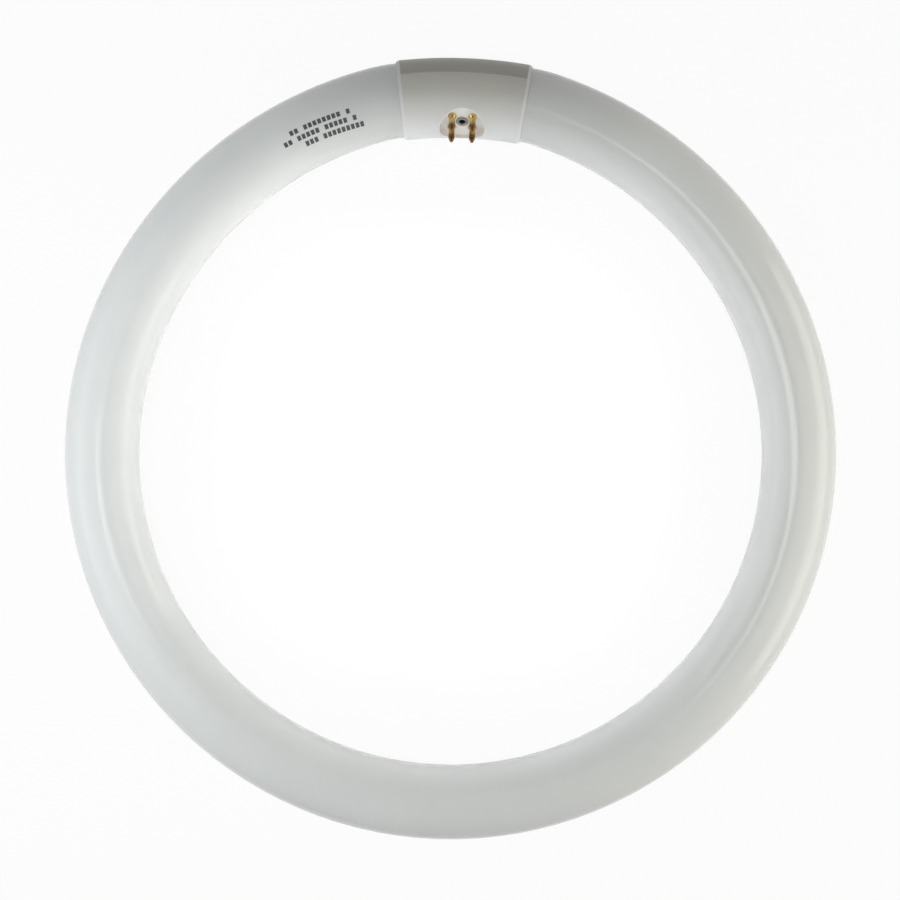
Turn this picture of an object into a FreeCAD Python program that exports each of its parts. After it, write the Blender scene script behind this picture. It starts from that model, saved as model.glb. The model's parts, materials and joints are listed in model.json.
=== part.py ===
"""Circular fluorescent lamp of the 32 W size: a bent glass ring whose two ends meet in a capped joint.

The cap is a pair of moulded half shells, riveted together round the ends of the tube, with four contact
pins in a round recess. Lead wires run from the sealed tube ends to the pins.

Millimetres. The lamp lies flat, +Z is up and the cap is on the +Y side. The origin is the centre of the
ring's circle, on the plane that the lamp rests on. Plan angles are in degrees, clockwise from +Y as seen
from above.
"""

import FreeCAD
import Part
import math
import os

from FreeCAD import Vector

# Glass ring
ring_outer_diameter = 300.0
tube_diameter = 29.0
shoulder_radius = 60.0  # bend of the tube's centre line where it leaves the cap
relief_extra_radius = 10.0  # how much flatter than the ring the tube runs on from that bend

# Sealed tube ends, inside the cap
end_gap = 25.0  # from rim to rim
seal_length = 6.0
seal_straight = 1.0
neck_inset = 4.0  # how far the rim is drawn in from the tube's wall
rim_thickness = 1.2
flare_depth = 9.0
stem_radius = 4.4
exhaust_radius = 2.3
exhaust_length = 5.0

# Cap
cap_standoff = 2.9  # how far the cap's middle lies outside the ring's circle
cap_bend_radius = 170.0
cap_length = 49.2  # along the centre line
cap_wall = 0.9
bore_clearance = 0.1
bevel_length = 1.2
bevel_depth = 0.6
seam_depth = 0.2
stop_thickness = 1.0
stop_clearance = 0.1
stop_hole_radius = 8.0

# Pin recess
pin_tilt = 34.0  # of the pins above the ring's plane
recess_radius = 8.75
recess_depth = 3.9  # below the crown of the cap
recess_wall = 1.0
plate_thickness = 2.0

# Contact pins
pin_spacing_along = 7.92  # along the tube
pin_spacing_across = 6.35
pin_diameter = 2.4
pin_length = 8.0  # above the recess floor
flange_diameter = 3.3
flange_thickness = 0.6
waist_diameter = 2.1
waist_height = 1.6
shaft_start = 2.0
nose_length = 2.6
tip_radius = 0.5
tip_height = 0.2
collar_diameter = 3.2
collar_thickness = 0.5
pin_bore_diameter = 1.2
pin_bore_end = 6.4
pin_hole_clearance = 0.03

# Rivet through the middle of the cap
rivet_diameter = 3.2
rivet_bore_diameter = 2.4
rivet_lip_diameter = 4.9
rivet_lip_height = 0.7
rivet_head_diameter = 5.4
rivet_head_thickness = 0.8
rivet_hole_clearance = 0.05
counterbore_diameter = 6.2
counterbore_depth = 1.5
pillar_diameter = 6.4
pillar_base_diameter = 9.0
pillar_base_height = 2.0

# Lead wires
lead_diameter = 0.6
lead_straight = 11.0  # straight out of the stem
lead_corner_depth = 9.0  # of the bend towards a pin, below the recess floor
lead_bend_radius = 3.0
lead_end_clearance = 0.05

# Sizes that follow from the ones above
tube_radius = tube_diameter / 2
ring_radius = ring_outer_diameter / 2 - tube_radius
relief_radius = ring_radius + relief_extra_radius
bore_radius = tube_radius + bore_clearance
cap_radius = bore_radius + cap_wall
floor_height = cap_radius - recess_depth  # of the recess floor, from the tube's centre line
plate_low = floor_height - plate_thickness
rest_height = cap_radius  # of the ring's plane above the surface that the lamp lies on
beyond = 2 * cap_radius  # a length that leads out of the cap from its centre line

ring_centre = Vector(0, 0, rest_height)
cap_middle = Vector(0, ring_radius + cap_standoff, rest_height)
cap_bend_centre = cap_middle - Vector(0, cap_bend_radius, 0)
cap_half_angle = math.degrees(cap_length / 2 / cap_bend_radius)
past_end_angle = 1.2 * cap_half_angle  # for cuts that run out of both ends of the cap
seal_angle = math.degrees((end_gap / 2 + seal_length) / cap_bend_radius)

up = Vector(0, 0, 1)
along = Vector(1, 0, 0)
tilt = math.radians(pin_tilt)
pin_axis = Vector(0, -math.cos(tilt), math.sin(tilt))
across = Vector(0, math.sin(tilt), math.cos(tilt))
floor_middle = cap_middle + pin_axis * floor_height


def plan_direction(angle):
    a = math.radians(angle)
    return Vector(math.sin(a), math.cos(a), 0)


def plan_tangent(angle):
    a = math.radians(angle)
    return Vector(math.cos(a), -math.sin(a), 0)


def plan_bearing(vector):
    return math.degrees(math.atan2(vector.x, vector.y))


def disc(middle, normal, radius):
    circle = Part.Circle(middle, normal, radius)
    return Part.Face(Part.Wire(circle.toShape()))


def bent_bar(centre, bend_radius, bar_radius, start, end):
    """Round bar bent about a vertical axis, between two plan angles."""
    middle = centre + plan_direction(start) * bend_radius
    return disc(middle, plan_tangent(start), bar_radius).revolve(centre, -up, end - start)


def outline(points):
    """Closed wire in the XZ plane. A triple (radius, height, radius and height midway) ends an arc."""
    edges = []
    last = points[-1]
    for point in points:
        start = Vector(last[0], 0, last[1])
        end = Vector(point[0], 0, point[1])
        if len(point) > 2:
            edges.append(Part.Arc(start, Vector(point[2][0], 0, point[2][1]), end).toShape())
        else:
            edges.append(Part.LineSegment(start, end).toShape())
        last = point
    return Part.Wire(edges)


def turned(points, origin, axis):
    """Solid of revolution of a closed (radius, height) outline about an axis through an origin."""
    solid = Part.Face(outline(points)).revolve(Vector(), up, 360)
    solid.Placement = FreeCAD.Placement(origin, FreeCAD.Rotation(up, axis))
    return solid


def arc_middle(start, end, radius):
    """Middle of an arc that leaves start along the height and bends towards the axis to end."""
    centre = start[0] - radius
    half = math.atan2(end[1] - start[1], end[0] - centre) / 2
    return centre + radius * math.cos(half), start[1] + radius * math.sin(half)


def dome_middle(radius, base, height):
    """Middle of an arc from a rim to the top of a spherical dome on the axis."""
    sphere = (radius**2 + height**2) / (2 * height)
    half = math.asin(radius / sphere) / 2
    return sphere * math.sin(half), base + height - sphere * (1 - math.cos(half))


def tangent_radius(inset, height):
    """Radius of an arc that starts along the height and moves in by an inset over a height."""
    return (inset**2 + height**2) / (2 * inset)


def mirrored(shape):
    return shape.mirror(Vector(), along)


def one_solid(shape):
    """The shape without its inner seams, as a single solid."""
    clean = shape.removeSplitter()
    assert len(clean.Solids) == 1 and clean.isValid()
    return clean.Solids[0]


def seal_frame():
    """Start of the tube's straight end on the +X side, and its direction towards the cap's middle."""
    origin = cap_bend_centre + plan_direction(seal_angle) * cap_bend_radius
    return origin, -plan_tangent(seal_angle)


def bent_half_tube():
    """The +X half of the tube: from its straight end through the two shoulder arcs to the far side."""
    leaving = cap_bend_centre + plan_direction(cap_half_angle) * cap_bend_radius
    shoulder_centre = leaving - plan_direction(cap_half_angle) * shoulder_radius
    from_ring = shoulder_centre - ring_centre
    span = relief_radius - shoulder_radius
    cosine = relief_extra_radius**2 + from_ring.Length**2 - span**2
    cosine /= 2 * relief_extra_radius * from_ring.Length
    relief_bearing = plan_bearing(from_ring) - math.degrees(math.acos(cosine))
    relief_centre = ring_centre + plan_direction(relief_bearing) * relief_extra_radius
    shoulder_end = plan_bearing(shoulder_centre - relief_centre)
    relief_end = relief_bearing + 180
    bars = [
        bent_bar(cap_bend_centre, cap_bend_radius, tube_radius, seal_angle, cap_half_angle),
        bent_bar(shoulder_centre, shoulder_radius, tube_radius, cap_half_angle, shoulder_end),
        bent_bar(relief_centre, relief_radius, tube_radius, shoulder_end, relief_end),
        bent_bar(ring_centre, ring_radius, tube_radius, relief_end, 180),
    ]
    return bars[0].fuse(bars[1:])


def sealed_end():
    """Necked end of the tube, the funnel of its flared stem, and the tip of the exhaust tube."""
    origin, axis = seal_frame()
    rim = tube_radius - neck_inset
    bend = tangent_radius(neck_inset, seal_length - seal_straight)
    neck_middle = arc_middle((tube_radius, seal_straight), (rim, seal_length), bend)
    neck = turned(
        [
            (0, 0),
            (tube_radius, 0),
            (tube_radius, seal_straight),
            (rim, seal_length, neck_middle),
            (0, seal_length),
        ],
        origin,
        axis,
    )
    press = seal_length - flare_depth
    funnel = turned(
        [
            (exhaust_radius, press),
            (stem_radius, press),
            (rim - rim_thickness, seal_length),
            (exhaust_radius, seal_length),
        ],
        origin,
        axis,
    )
    tip = seal_length + exhaust_length
    dome = dome_middle(exhaust_radius, tip, exhaust_radius)
    exhaust = turned(
        [
            (0, press),
            (exhaust_radius, press),
            (exhaust_radius, tip),
            (0, tip + exhaust_radius, dome),
        ],
        origin,
        axis,
    )
    return neck, funnel, exhaust


def glass_tube():
    """The sealed lamp tube, one closed piece of glass."""
    half = bent_half_tube()
    neck, funnel, exhaust = sealed_end()
    half = half.fuse(neck).cut(funnel).fuse(exhaust)
    return one_solid(half.fuse(mirrored(half)))


def cap_bevel():
    """Cutter that bevels the cap's rim on the +X side."""
    origin = cap_bend_centre + plan_direction(cap_half_angle) * cap_bend_radius
    return turned(
        [
            (cap_radius - 2 * bevel_depth, -bevel_length),
            (cap_radius + bevel_depth, 2 * bevel_length),
            (cap_radius + bevel_depth, -bevel_length),
        ],
        origin,
        -plan_tangent(cap_half_angle),
    )


def end_stop():
    """Rib inside the cap on the +X side, which the rim of the tube butts against."""
    origin, axis = seal_frame()
    near = seal_length + stop_clearance
    far = near + stop_thickness
    outer = bore_radius + cap_wall / 2
    return turned(
        [(stop_hole_radius, near), (outer, near), (outer, far), (stop_hole_radius, far)], origin, axis
    )


def revolved_in_cap(corners):
    """Band that follows the cap's bend past both ends, from an outline of (pin height, across) places."""
    places = [cap_middle + pin_axis * height + across * aside for height, aside in corners]
    wire = Part.makePolygon(places + places[:1])
    wire.rotate(cap_bend_centre, up, past_end_angle)
    return Part.Face(wire).revolve(cap_bend_centre, -up, 2 * past_end_angle)


def seam_groove(side):
    """V-shaped groove along the joint of the half shells, on the front (1) or the back (-1)."""
    return revolved_in_cap(
        [
            (0, side * (cap_radius - seam_depth)),
            (2 * seam_depth, side * (cap_radius + seam_depth)),
            (-2 * seam_depth, side * (cap_radius + seam_depth)),
        ]
    )


def pin_places():
    """The four pins' names, and their places on the recess floor."""
    for row, side in (("front", 1), ("rear", -1)):
        for end, way in (("left", -1), ("right", 1)):
            place = along * (way * pin_spacing_along / 2) + across * (side * pin_spacing_across / 2)
            yield f"{row}_{end}", floor_middle + place, side, way


def post(radius, low, high):
    """Round post on the cap's rivet axis, between two heights above the tube's centre line."""
    return Part.makeCylinder(radius, high - low, cap_middle + pin_axis * low, pin_axis)


def whole_cap():
    """Both half shells of the cap in one piece, before they are parted at the seam."""
    outer = bent_bar(cap_bend_centre, cap_bend_radius, cap_radius, -cap_half_angle, cap_half_angle)
    bore = bent_bar(cap_bend_centre, cap_bend_radius, bore_radius, -past_end_angle, past_end_angle)
    inside = [
        post(recess_radius + recess_wall, plate_low, beyond),
        post(pillar_diameter / 2, -beyond, floor_height),
        post(pillar_base_diameter / 2, -beyond, pillar_base_height - bore_radius),
        end_stop(),
        mirrored(end_stop()),
    ]
    cap = outer.cut(bore).fuse([piece.common(outer) for piece in inside])
    cuts = [
        post(recess_radius, floor_height, beyond),
        post(rivet_diameter / 2 + rivet_hole_clearance, -beyond, beyond),
        post(counterbore_diameter / 2, -beyond, counterbore_depth - cap_radius),
        cap_bevel(),
        mirrored(cap_bevel()),
        seam_groove(1),
        seam_groove(-1),
    ]
    pin_hole = post(pin_diameter / 2 + pin_hole_clearance, 0, beyond)
    for name, place, side, way in pin_places():
        cuts.append(pin_hole.translated(place - floor_middle))
    return cap.cut(cuts)


def cap_half(cap, side):
    """One half shell: the one with the pins (1) or the plain cover (-1)."""
    block = revolved_in_cap([(0, -beyond), (0, beyond), (side * beyond, beyond), (side * beyond, -beyond)])
    return one_solid(cap.common(block))


def contact_pin(place):
    """Hollow brass pin: swaged collar under the plate, flange on it, waist, shaft and rounded nose."""
    radius = pin_diameter / 2
    shaft_end = pin_length - nose_length
    shoulder = pin_length - tip_height
    bend = tangent_radius(radius - tip_radius, shoulder - shaft_end)
    nose_middle = arc_middle((radius, shaft_end), (tip_radius, shoulder), bend)
    tip_middle = dome_middle(tip_radius, shoulder, tip_height)
    low = -plate_thickness - collar_thickness
    return turned(
        [
            (pin_bore_diameter / 2, low),
            (collar_diameter / 2, low),
            (collar_diameter / 2, -plate_thickness),
            (radius, -plate_thickness),
            (radius, 0),
            (flange_diameter / 2, 0),
            (flange_diameter / 2, flange_thickness),
            (waist_diameter / 2, waist_height),
            (radius, shaft_start),
            (radius, shaft_end),
            (tip_radius, shoulder, nose_middle),
            (0, pin_length, tip_middle),
            (0, pin_bore_end),
            (pin_bore_diameter / 2, pin_bore_end),
        ],
        place,
        pin_axis,
    )


def cap_rivet():
    """Tubular rivet: rolled lip on the recess floor, flat head sunk in the back of the cap."""
    bore = rivet_bore_diameter / 2
    shank = rivet_diameter / 2
    lip = rivet_lip_diameter / 2
    head = rivet_head_diameter / 2
    head_top = counterbore_depth - cap_radius
    head_low = head_top - rivet_head_thickness
    crown = ((bore + lip) / 2, floor_height + rivet_lip_height)
    return turned(
        [
            (bore, head_low),
            (head, head_low),
            (head, head_top),
            (shank, head_top),
            (shank, floor_height),
            (lip, floor_height),
            (bore, floor_height, crown),
        ],
        cap_middle,
        pin_axis,
    )


def bent_wire(points, radius, bend_radius):
    """Round wire along straight runs, joined at the points between by tangent arcs."""
    pieces = []
    start = points[0]
    for before, corner, after in zip(points, points[1:], points[2:]):
        into = (corner - before).normalize()
        out = (after - corner).normalize()
        turn = into.getAngle(out)
        setback = bend_radius * math.tan(turn / 2)
        bend_start = corner - into * setback
        hinge = into.cross(out).normalize()
        bend_centre = bend_start + hinge.cross(into) * bend_radius
        pieces.append(Part.makeCylinder(radius, (bend_start - start).Length, start, into))
        pieces.append(disc(bend_start, into, radius).revolve(bend_centre, hinge, math.degrees(turn)))
        start = corner + out * setback
    pieces.append(Part.makeCylinder(radius, (points[-1] - start).Length, start, points[-1] - start))
    return one_solid(pieces[0].fuse(pieces[1:]))


def lead_wire(place, side, way):
    """Wire from the pressed stem of a tube end into the hollow pin at a place on the recess floor."""
    origin, axis = seal_frame()
    if way < 0:
        origin = Vector(-origin.x, origin.y, origin.z)
        axis = Vector(-axis.x, axis.y, axis.z)
    outward = plan_direction(way * seal_angle)
    aside = outward * math.sin(tilt) + up * math.cos(tilt)
    in_press = (stem_radius + exhaust_radius) / 2
    stem = origin + axis * (seal_length - flare_depth + lead_end_clearance) + aside * (side * in_press)
    points = [
        stem,
        stem + axis * lead_straight,
        place - pin_axis * lead_corner_depth,
        place + pin_axis * (pin_bore_end - lead_end_clearance),
    ]
    return bent_wire(points, lead_diameter / 2, lead_bend_radius)


def main():
    cap = whole_cap()
    parts = {
        "glass_tube": glass_tube(),
        "cap_pin_half": cap_half(cap, 1),
        "cap_cover_half": cap_half(cap, -1),
        "cap_rivet": cap_rivet(),
    }
    for name, place, side, way in pin_places():
        parts[f"contact_pin_{name}"] = contact_pin(place)
        parts[f"lead_wire_{name}"] = lead_wire(place, side, way)
    os.makedirs("parts", exist_ok=True)
    for name, shape in parts.items():
        shape.exportStep(f"parts/{name}.step")


main()
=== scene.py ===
import json
import math

import bmesh
import bpy
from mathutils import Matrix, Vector
from mathutils.bvhtree import BVHTree


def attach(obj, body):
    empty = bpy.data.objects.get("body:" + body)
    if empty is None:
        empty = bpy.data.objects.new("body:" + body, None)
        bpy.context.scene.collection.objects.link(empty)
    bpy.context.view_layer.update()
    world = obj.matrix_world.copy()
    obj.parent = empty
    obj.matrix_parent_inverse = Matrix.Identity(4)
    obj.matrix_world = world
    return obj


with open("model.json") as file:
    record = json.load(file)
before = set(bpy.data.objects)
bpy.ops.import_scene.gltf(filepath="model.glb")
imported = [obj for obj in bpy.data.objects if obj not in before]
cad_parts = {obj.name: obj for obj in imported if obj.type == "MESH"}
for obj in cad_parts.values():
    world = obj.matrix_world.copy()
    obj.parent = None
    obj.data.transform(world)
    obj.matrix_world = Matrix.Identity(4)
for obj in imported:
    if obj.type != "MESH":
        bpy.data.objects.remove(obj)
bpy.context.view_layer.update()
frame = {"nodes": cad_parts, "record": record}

# Places on the part where its colours change, in metres
ring_plane_height = 0.0155
cap_place = (0.0, 0.1384, ring_plane_height)  # the cap's middle
cap_bend_radius = 0.170
cap_length = 0.0492  # along its bend
rim_width = 0.0012  # of the rim at each end of the cap, painted paler as painted light where the bevel faces the bright sides
pin_tilt = math.radians(34)  # of the pins above the ring's plane
pin_direction = (0.0, -math.cos(pin_tilt), math.sin(pin_tilt))
recess_radius = 0.0089  # of the white round the pins' axis, partly paler plastic and partly painted light
edge_blend = 0.0003  # width over which the colour changes at the recess and the rims
painted_light_span = (0.1232, 0.1395)  # across the cap, from its edge towards the ring's middle, over which the painted light on that edge fades out
grey_span = (0.03, 0.075)  # along the glass from the cap's middle
shaft_height = 0.0152  # along the pins from the cap's middle, where the painted shade that makes them browner starts
nose_height = 0.0168  # where the painted shade makes them brownest

# Camera, looking straight down on the ring
camera_distance = 1.2  # above the ring's plane
camera_roll = 2.0  # degrees, which turns the cap to the right of the top
camera_place = (-0.0003, 0.0014)  # from the ring's centre
image_pixels = 900
pixels_per_metre = 2570.0  # in the ring's plane
sensor_width = 36.0  # millimetres

# Studio: the lamps' places, what they face, their sizes, watts, colours and spreads in degrees.
# The fill lamps are hidden from the gloss.
floor_size = 8.0
floor_glow = 0.94  # how much of the floor's look in the camera is plain white
world_light = 0.37
world_dark = 0.1  # the part of it that comes from the dark direction
dark_direction = Vector((0.0, 0.35, 0.94)).normalized()  # above the part and behind its cap
light_to_dark = (0.1, 0.95)  # cosines of the angle to the dark direction, between which the light falls off
cool = (0.96, 0.985, 1.0)
warm = (1.0, 0.975, 0.885)
plain = (1.0, 1.0, 1.0)
lamps = {
    "left": ((-0.42, -0.02, 0.28), (-0.13, -0.02, 0.0), (0.45, 0.6), 0.32, cool, 180),
    "left_wide": ((-0.52, -0.03, 0.38), (-0.13, -0.03, 0.0), (0.8, 0.7), 1.36, cool, 180),
    "left_narrow": ((-0.145, -0.03, 0.80), (0.1355, 0.02, ring_plane_height), (0.12, 0.36), 0.037, cool, 48),
    "right": ((0.80, -0.02, 0.20), (0.0, 0.0, 0.0), (1.05, 0.45), 2.7, warm, 180),
    "right_high": ((0.60, -0.06, 0.80), (0.0, 0.0, 0.0), (0.6, 0.9), 1.1, warm, 180),
}
fill_lamps = {
    "left": ((-0.24, -0.02, 0.80), (-0.15, -0.02, 0.0), (0.3, 0.3), 0.094, cool, 30),
    "right": ((0.26, -0.03, 0.80), (0.15, -0.03, 0.0), (0.3, 0.3), 0.056, warm, 30),
    "floor": ((0.0, 0.0, 0.30), (0.0, 0.0, 0.0), (0.1, 0.1), 0.2, plain, 24),
    "inner": ((0.045, -0.035, 0.055), (-0.105, 0.07, 0.011), (0.06, 0.06), 0.0235, plain, 110),
}

# Print on the glass: rows of plain dashes, from the outer row inwards
print_angle = 23.9  # degrees along the ring from the cap
print_radius = 0.1345  # from the ring's centre to the middle row
print_row_pitch = 0.0030
print_dash_length = 0.0014
print_dash_height = 0.0019
print_dash_pitch = 0.0019
print_dash_strips = 4  # flat strips across a dash, which follow the round glass
print_rows = ((2, 8, 1), (2, 5, 5, 1), (3, 9))  # dashes in each run of a row
print_row_shifts = (0.001, 0.0, 0.005)  # towards the cap
print_thickness = 0.00003
print_drop_height = 1.0  # from which the dashes' corners are dropped on the glass


def is_colour(value):
    """Whether a value is a colour, or the output of a node that gives one."""
    return isinstance(value, tuple) or getattr(value, "type", None) == "RGBA"


class NodeGraph:
    """A material's or world's node tree, with short ways to add nodes and links."""

    def __init__(self, owner):
        owner.use_nodes = True
        self.tree = owner.node_tree
        self.tree.nodes.clear()

    def add(self, kind, **inputs):
        node = self.tree.nodes.new(kind)
        for name, value in inputs.items():
            self.give(node.inputs[name.replace("_", " ")], value)
        return node

    def give(self, socket, value):
        """Links a socket to another node's output, or sets its value."""
        if isinstance(value, bpy.types.NodeSocket):
            self.tree.links.new(value, socket)
        else:
            socket.default_value = value

    def math(self, operation, first, second=0.0):
        node = self.tree.nodes.new("ShaderNodeMath")
        node.operation = operation
        self.give(node.inputs[0], first)
        self.give(node.inputs[1], second)
        return node.outputs[0]

    def vector(self, operation, first, second=(0.0, 0.0, 0.0)):
        node = self.tree.nodes.new("ShaderNodeVectorMath")
        node.operation = operation
        self.give(node.inputs[0], first)
        self.give(node.inputs[1], second)
        return node

    def place(self):
        """Where a point of the surface lies in the CAD frame."""
        return self.add("ShaderNodeTexCoord").outputs["Object"]

    def distance_from_line(self, place, point, direction):
        """How far a place is from the line through a point in a direction of length 1."""
        offset = self.vector("SUBTRACT", place, point).outputs["Vector"]
        across = self.vector("CROSS_PRODUCT", offset, direction).outputs["Vector"]
        return self.vector("LENGTH", across).outputs["Value"]

    def noise(self, scale, detail=3.0):
        node = self.add("ShaderNodeTexNoise", Vector=self.place(), Scale=scale, Detail=detail)
        return node.outputs["Fac"]

    def between(self, factor, low, high):
        """A value or colour between two, by a factor from 0 to 1."""
        node = self.tree.nodes.new("ShaderNodeMix")
        kind = "Color" if is_colour(low) or is_colour(high) else "Float"
        node.data_type = "RGBA" if kind == "Color" else "FLOAT"
        inputs = {socket.identifier: socket for socket in node.inputs}
        outputs = {socket.identifier: socket for socket in node.outputs}
        self.give(inputs["Factor_Float"], factor)
        self.give(inputs[f"A_{kind}"], low)
        self.give(inputs[f"B_{kind}"], high)
        return outputs[f"Result_{kind}"]

    def ramp(self, value, start, end, low=0.0, high=1.0):
        """A value that goes from low to high as another goes from start to end."""
        limits = {"From_Min": start, "From_Max": end, "To_Min": low, "To_Max": high}
        return self.add("ShaderNodeMapRange", Value=value, **limits).outputs["Result"]

    def bump(self, height, strength, distance):
        node = self.add("ShaderNodeBump", Height=height, Strength=strength, Distance=distance)
        return node.outputs["Normal"]


def colour(red, green, blue):
    return (red, green, blue, 1.0)


def surface(name, build):
    """A material with a principled shader, whose inputs come from a function of its node graph."""
    material = bpy.data.materials.new(name)
    graph = NodeGraph(material)
    shader = graph.add("ShaderNodeBsdfPrincipled")
    for socket, value in build(graph).items():
        graph.give(shader.inputs[socket], value)
    output = graph.add("ShaderNodeOutputMaterial")
    graph.tree.links.new(shader.outputs["BSDF"], output.inputs["Surface"])
    return material


def coated_glass(graph):
    """White coat behind clear glass, faintly mottled and greyer near the cap."""
    mottle = graph.noise(60.0)
    waves = graph.noise(18.0, detail=2.0)
    from_cap = graph.vector("DISTANCE", graph.place(), cap_place).outputs["Value"]
    grey_fade = graph.ramp(from_cap, *grey_span)
    coat = graph.between(mottle, colour(0.77, 0.79, 0.785), colour(0.81, 0.83, 0.82))
    return {
        "Base Color": graph.between(grey_fade, colour(0.62, 0.635, 0.63), coat),
        "Roughness": graph.between(mottle, 0.1, 0.15),
        "IOR": 1.5,
        "Normal": graph.bump(waves, 0.15, 0.0004),
    }


def cap_plastic(graph, dull_low, dull_high):
    """Moulded plastic with a fine satin grain, unevenly dulled by heat."""
    grain = graph.noise(2500.0, detail=2.0)
    patches = graph.noise(90.0)
    return {
        "Base Color": graph.between(patches, dull_low, dull_high),
        "Roughness": graph.between(patches, 0.36, 0.46),
        "Normal": graph.bump(grain, 0.2, 0.00004),
    }


def painted_light_fade(graph):
    """0 at the cap's edge towards the ring's middle, where the painted light is fullest, and 1 where it has
    faded out.
    """
    outwards = graph.add("ShaderNodeSeparateXYZ", Vector=graph.place()).outputs["Y"]
    return graph.ramp(outwards, *painted_light_span)


def painted_lit_rims(graph, body):
    """A colour of the cap that is painted paler along the bevelled rims at its two ends, as painted light
    where they face the bright sides.
    """
    position = graph.add("ShaderNodeSeparateXYZ", Vector=graph.place()).outputs
    aside = graph.math("ABSOLUTE", position["X"])
    outwards = graph.math("ADD", position["Y"], cap_bend_radius - cap_place[1])
    turn = graph.math("ARCTAN2", aside, outwards)
    from_middle = graph.math("MULTIPLY", turn, cap_bend_radius)
    rim_start = cap_length / 2 - rim_width
    on_rim = graph.ramp(from_middle, rim_start - edge_blend, rim_start)
    # Painted light: the rims are paler, most towards the ring's middle.
    rim = graph.between(painted_light_fade(graph), colour(0.8, 0.81, 0.8), colour(0.56, 0.57, 0.56))
    return graph.between(on_rim, body, rim)


def pin_half_plastic(graph):
    """The cap's plastic, with painted light that makes it paler towards the ring's middle and along the
    rims, and white in the recess, which is partly paler plastic and partly painted light.
    """
    plastic = cap_plastic(graph, colour(0.52, 0.515, 0.475), colour(0.56, 0.555, 0.515))
    # Painted light: paler and cooler towards the ring's middle.
    body = graph.between(painted_light_fade(graph), colour(0.74, 0.75, 0.765), plastic["Base Color"])
    from_pins = graph.distance_from_line(graph.place(), cap_place, pin_direction)
    outside = graph.ramp(from_pins, recess_radius, recess_radius + edge_blend)
    # White in the recess: partly paler plastic and partly painted light.
    plastic["Base Color"] = graph.between(outside, colour(0.88, 0.88, 0.88), painted_lit_rims(graph, body))
    return plastic


def cover_half_plastic(graph):
    """The cap's plastic, browner than in the other half, with the same painted light along the rims."""
    plastic = cap_plastic(graph, colour(0.365, 0.348, 0.313), colour(0.4, 0.383, 0.348))
    # Painted light along the rims.
    plastic["Base Color"] = painted_lit_rims(graph, plastic["Base Color"])
    return plastic


def pin_brass(graph):
    """Drawn brass with a little tarnish, and painted shade that makes it browner towards the noses of the
    pins.
    """
    tarnish = graph.noise(700.0)
    offset = graph.vector("SUBTRACT", graph.place(), cap_place).outputs["Vector"]
    height = graph.vector("DOT_PRODUCT", offset, pin_direction).outputs["Value"]
    # Painted shade, darkest and brownest at the noses of the pins.
    painted_nose_shade = graph.ramp(height, shaft_height, nose_height)
    bright = graph.between(tarnish, colour(0.62, 0.42, 0.14), colour(0.83, 0.63, 0.28))
    return {
        "Base Color": graph.between(painted_nose_shade, bright, colour(0.24, 0.13, 0.05)),
        "Metallic": 1.0,
        "Roughness": graph.between(tarnish, 0.16, 0.28),
    }


def rivet_steel(graph):
    """Dull plated steel."""
    scuffs = graph.noise(900.0)
    return {
        "Base Color": graph.between(scuffs, colour(0.24, 0.25, 0.23), colour(0.36, 0.37, 0.35)),
        "Metallic": 1.0,
        "Roughness": graph.between(scuffs, 0.3, 0.5),
    }


def lead_metal(graph):
    """Drawn nickel-plated wire."""
    scuffs = graph.noise(1200.0)
    return {
        "Base Color": graph.between(scuffs, colour(0.5, 0.48, 0.45), colour(0.62, 0.6, 0.57)),
        "Metallic": 1.0,
        "Roughness": graph.between(scuffs, 0.25, 0.4),
    }


def print_ink(graph):
    """Grey stamping ink, unevenly laid."""
    wear = graph.noise(1500.0)
    return {
        "Base Color": graph.between(wear, colour(0.03, 0.03, 0.035), colour(0.13, 0.13, 0.13)),
        "Roughness": graph.between(wear, 0.4, 0.6),
    }


def paint_nodes():
    """Gives every CAD node the material of its slot, and the cover half its browner plastic."""
    looks = {
        "coated_glass": surface("coated_glass", coated_glass),
        "cap_plastic": surface("cap_plastic", pin_half_plastic),
        "pin_brass": surface("pin_brass", pin_brass),
        "rivet_steel": surface("rivet_steel", rivet_steel),
        "lead_metal": surface("lead_metal", lead_metal),
    }
    slots = {entry["node"]: entry["material_slot"] for entry in frame["record"]["subparts"]}
    for name, node in frame["nodes"].items():
        node.data.materials.clear()
        node.data.materials.append(looks[slots[name]])
    cover = frame["nodes"]["cap_cover_half"]
    cover.data.materials[0] = surface("cap_cover_plastic", cover_half_plastic)


def print_places():
    """Left end and row of each dash, along and across the print's middle, in metres."""
    for row, (runs, shift) in enumerate(zip(print_rows, print_row_shifts)):
        across = ((len(print_rows) - 1) / 2 - row) * print_row_pitch
        columns = sum(runs) + len(runs) - 1
        column = -columns / 2
        for run in runs:
            for _ in range(run):
                yield column * print_dash_pitch + shift, across
                column += 1
            column += 1


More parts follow.
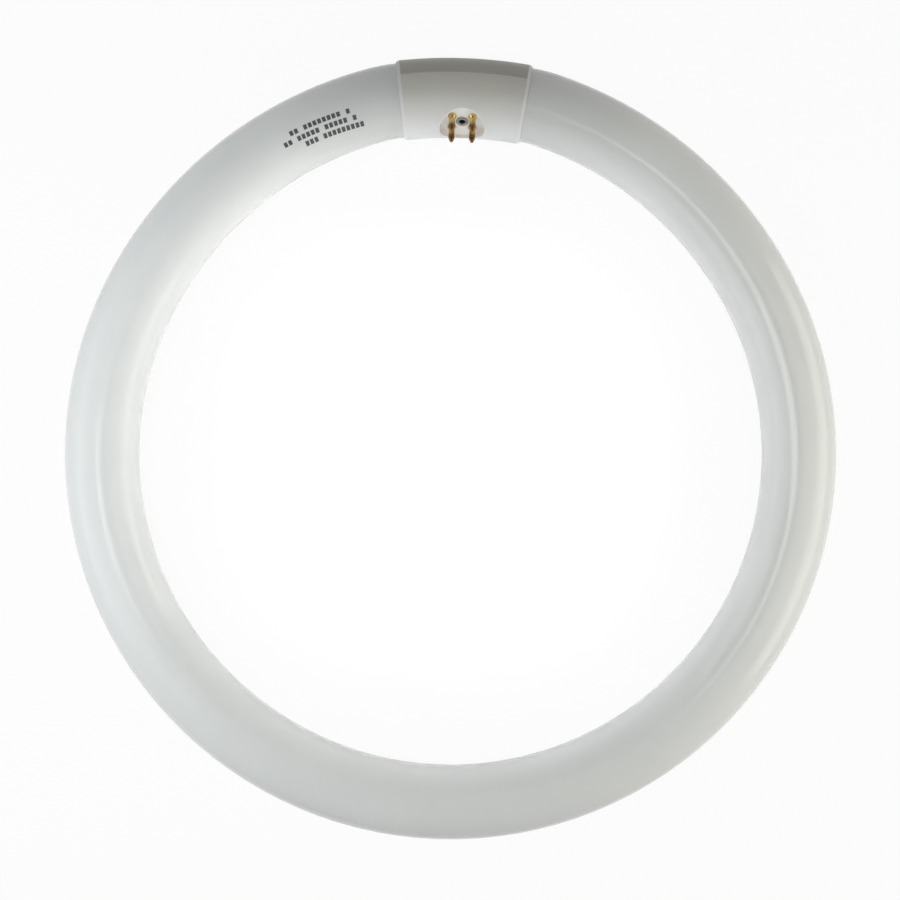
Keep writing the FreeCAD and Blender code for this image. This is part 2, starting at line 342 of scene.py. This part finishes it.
def printed_dashes():
    """Thin dashes that lie on the glass, left of the cap."""
    glass = frame["nodes"]["glass_tube"]
    tree = BVHTree.FromObject(glass, bpy.context.evaluated_depsgraph_get())
    mesh = bmesh.new()

    def on_glass(along, across):
        angle = math.radians(print_angle) - along / print_radius
        radius = print_radius + across
        above = Vector((-radius * math.sin(angle), radius * math.cos(angle), print_drop_height))
        place, normal, _, _ = tree.ray_cast(above, Vector((0, 0, -1)))
        return mesh.verts.new(place + normal * print_thickness)

    for left, middle in print_places():
        rungs = []
        for strip in range(print_dash_strips + 1):
            across = middle + (strip / print_dash_strips - 0.5) * print_dash_height
            rungs.append((on_glass(left, across), on_glass(left + print_dash_length, across)))
        for low, high in zip(rungs, rungs[1:]):
            mesh.faces.new((low[0], low[1], high[1], high[0]))
    data = bpy.data.meshes.new("printed_dashes")
    mesh.to_mesh(data)
    mesh.free()
    data.materials.append(surface("print_ink", print_ink))
    dashes = bpy.data.objects.new("printed_dashes", data)
    bpy.context.scene.collection.objects.link(dashes)
    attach(dashes, "root")


def seen_directly(graph):
    """1 for what the camera, a reflection or clear glass shows, and 0 for light that scatters."""
    path = graph.add("ShaderNodeLightPath")
    shown = graph.math("MAXIMUM", path.outputs["Is Camera Ray"], path.outputs["Is Glossy Ray"])
    return graph.math("MAXIMUM", shown, path.outputs["Is Transmission Ray"])


def white_floor():
    """Pale floor that looks white, with the object's shadow on it."""
    material = bpy.data.materials.new("floor_white")
    graph = NodeGraph(material)
    speckle = graph.noise(40.0)
    paint = graph.between(speckle, colour(0.8, 0.8, 0.8), colour(0.84, 0.84, 0.84))
    pale = graph.add("ShaderNodeBsdfDiffuse", Color=paint)
    white = graph.add("ShaderNodeEmission", Color=colour(1, 1, 1), Strength=1.0)
    mix = graph.add("ShaderNodeMixShader", Fac=graph.math("MULTIPLY", seen_directly(graph), floor_glow))
    graph.tree.links.new(pale.outputs["BSDF"], mix.inputs[1])
    graph.tree.links.new(white.outputs["Emission"], mix.inputs[2])
    output = graph.add("ShaderNodeOutputMaterial")
    graph.tree.links.new(mix.outputs["Shader"], output.inputs["Surface"])
    bpy.ops.mesh.primitive_plane_add(size=floor_size)
    floor = bpy.context.object
    floor.name = "floor"
    floor.data.materials.append(material)


def studio_world():
    """Weak light from all round, least from above and behind, which looks white in the camera."""
    world = bpy.data.worlds.new("studio")
    graph = NodeGraph(world)
    direction = graph.add("ShaderNodeTexCoord").outputs["Generated"]
    nearness = graph.vector("DOT_PRODUCT", direction, dark_direction).outputs["Value"]
    shade = graph.ramp(nearness, *light_to_dark, low=1.0, high=world_dark)
    light = graph.between(seen_directly(graph), world_light, 1.0)
    shaded = graph.math("MULTIPLY", light, shade)
    path = graph.add("ShaderNodeLightPath")
    strength = graph.between(path.outputs["Is Camera Ray"], shaded, 1.0)
    background = graph.add("ShaderNodeBackground", Color=colour(1, 1, 1), Strength=strength)
    output = graph.add("ShaderNodeOutputWorld")
    graph.tree.links.new(background.outputs["Background"], output.inputs["Surface"])
    bpy.context.scene.world = world


def aim(thing, place, target):
    """Puts a lamp in its place, facing a target."""
    thing.location = place
    thing.rotation_euler = (Vector(target) - Vector(place)).to_track_quat("-Z", "Y").to_euler()


def studio_lamps(kind, table, in_gloss):
    """Area lamps from a table, which show in reflections or not."""
    for name, (place, target, size, watts, tint, spread) in table.items():
        light = bpy.data.lights.new(f"{kind}_{name}", "AREA")
        light.shape = "RECTANGLE"
        light.size, light.size_y = size
        light.energy = watts
        light.color = tint
        light.spread = math.radians(spread)
        lamp = bpy.data.objects.new(f"{kind}_{name}", light)
        lamp.visible_glossy = in_gloss
        bpy.context.scene.collection.objects.link(lamp)
        aim(lamp, place, target)


def camera():
    """Camera above the ring, with a long lens that gives the photo's scale."""
    data = bpy.data.cameras.new("camera")
    data.sensor_fit = "HORIZONTAL"
    data.sensor_width = sensor_width
    data.lens = pixels_per_metre * camera_distance / image_pixels * sensor_width
    eye = bpy.data.objects.new("camera", data)
    eye.location = (*camera_place, ring_plane_height + camera_distance)
    eye.rotation_euler = (0, 0, math.radians(camera_roll))
    bpy.context.scene.collection.objects.link(eye)
    bpy.context.scene.camera = eye


paint_nodes()
printed_dashes()
white_floor()
studio_world()
studio_lamps("lamp", lamps, True)
studio_lamps("fill", fill_lamps, False)
camera()
bpy.context.scene.view_settings.view_transform = "Standard"
